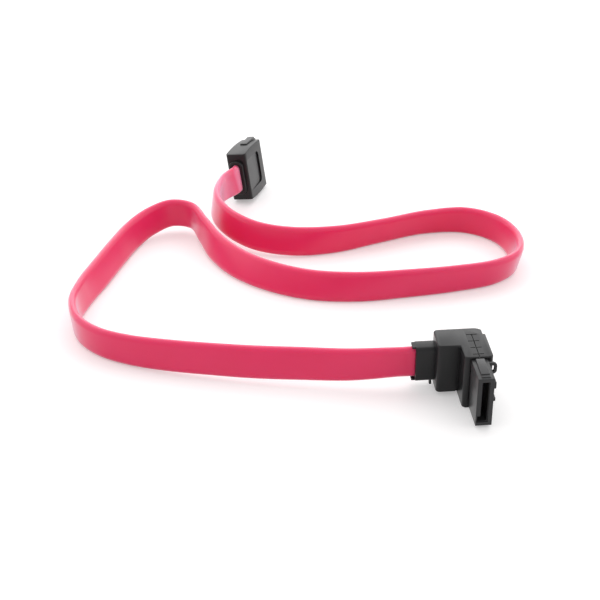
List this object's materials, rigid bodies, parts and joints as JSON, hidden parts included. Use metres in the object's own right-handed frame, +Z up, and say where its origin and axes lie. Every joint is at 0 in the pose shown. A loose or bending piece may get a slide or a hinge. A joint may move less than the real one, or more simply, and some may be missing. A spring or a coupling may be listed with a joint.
{
  "type": "sata data cable",
  "caption": "Flat pink serial data cable lying on its edge in a loose loop, with a right-angle plug at one end and a straight plug at the other.",
  "frame": {"origin": "on the table, below the middle of the box round the two plugs", "axes": "+Z up; +Y from the right-angle plug's side of the loop toward the straight plug's side; +X to the right of someone looking along +Y"},
  "size_m": [0.1318, 0.1419, 0.0173],
  "materials": {
    "jacket": "satin",
    "wires": "foil",
    "carrier": "satin",
    "moulding": "matte",
    "contacts": "polished"
  },
  "bodies": {
    "root": {"angle_plug_moulding": "moulding", "angle_contact_carrier": "carrier", "angle_contact_1": "contacts", "angle_contact_2": "contacts", "angle_contact_3": "contacts", "angle_contact_4": "contacts", "angle_contact_5": "contacts", "angle_contact_6": "contacts", "angle_contact_7": "contacts", "cable_jacket": "jacket", "wire_pair_1": "wires", "wire_pair_2": "wires", "straight_plug_moulding": "moulding", "straight_contact_carrier": "carrier", "straight_contact_1": "contacts", "straight_contact_2": "contacts", "straight_contact_3": "contacts", "straight_contact_4": "contacts", "straight_contact_5": "contacts", "straight_contact_6": "contacts", "straight_contact_7": "contacts"}
  },
  "joints": []
}
